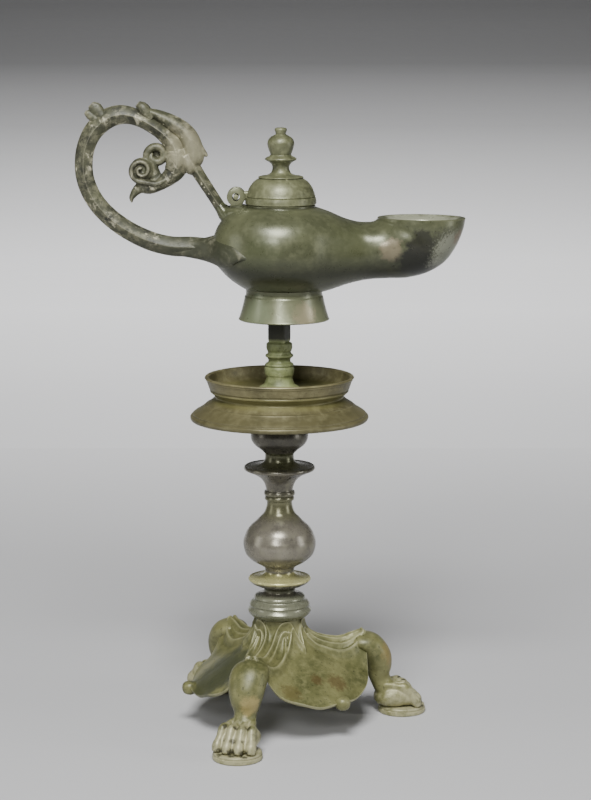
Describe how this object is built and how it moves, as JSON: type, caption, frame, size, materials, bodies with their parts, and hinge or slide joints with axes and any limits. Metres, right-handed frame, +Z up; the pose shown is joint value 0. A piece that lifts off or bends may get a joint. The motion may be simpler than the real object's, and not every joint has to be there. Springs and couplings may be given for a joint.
{
  "type": "oil lamp on a pricket stand",
  "caption": "Late Roman cast bronze oil lamp with a hinged lid and looped scroll handle, on a tall pricket stand with drip pan, baluster shaft and lion-paw tripod base.",
  "frame": {"origin": "centre of the footprint, on the floor", "axes": "+Z up, +X along the nozzle, +Y to the back of the lamp as pictured"},
  "size_m": [0.231, 0.1682, 0.3771],
  "materials": {
    "base_bronze": "cast bronze with a green patina, worn lighter on the raised lines",
    "shaft_bronze": "turned cast bronze, dark brown-grey, half glossy",
    "pan_bronze": "turned cast bronze, olive-brown patina",
    "pricket_bronze": "cast bronze with a pale green crust",
    "lamp_bronze": "cast bronze, smooth olive-green patina with pale crust and soot at the nozzle",
    "pin_bronze": "drawn bronze rod, dull",
    "lid_bronze": "turned cast bronze, pale green-grey patina"
  },
  "bodies": {
    "stand": {"tripod_base": "base_bronze", "baluster_shaft": "shaft_bronze", "drip_pan": "pan_bronze", "pricket": "pricket_bronze", "lamp_body": "lamp_bronze", "hinge_pin": "pin_bronze"},
    "lid": {"lamp_lid": "lid_bronze"}
  },
  "joints": [
    {"name": "lid_hinge", "type": "hinge", "parent": "stand", "child": "lid", "pos_m": [-0.02027, 0.0048, 0.3211], "axis": [0, -1, 0], "range_deg": [0, 52]}
  ]
}
